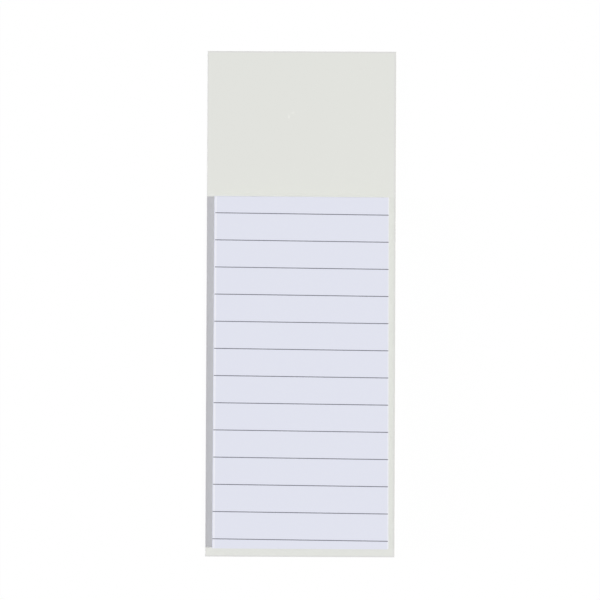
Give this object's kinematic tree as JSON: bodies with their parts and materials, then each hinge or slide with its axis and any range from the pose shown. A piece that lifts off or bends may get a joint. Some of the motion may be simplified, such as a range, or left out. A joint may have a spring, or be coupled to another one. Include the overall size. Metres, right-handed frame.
{
  "type": "ruled memo pad",
  "caption": "Narrow ruled tear-off pad glued at its head and fixed to the lower part of a taller blank header card.",
  "frame": {"origin": "middle of the card's back face, on which the pad lies", "axes": "+X to the reader's right, +Y towards the glued head and the blank header, +Z out of the page"},
  "size_m": [0.075, 0.2008, 0.0064],
  "materials": {
    "card": "smooth ivory-white coated board, matt",
    "paper": "uncoated bluish white writing paper",
    "glue": "dried brushed padding glue, milky, satin",
    "tape": "double-sided tissue tape",
    "ink": "blue-grey printing ink, matt"
  },
  "bodies": {
    "root": {"backing_card": "card", "sheet_block": "paper", "head_glue": "glue", "mounting_tape": "tape", "ruled_lines": "ink"}
  },
  "joints": []
}
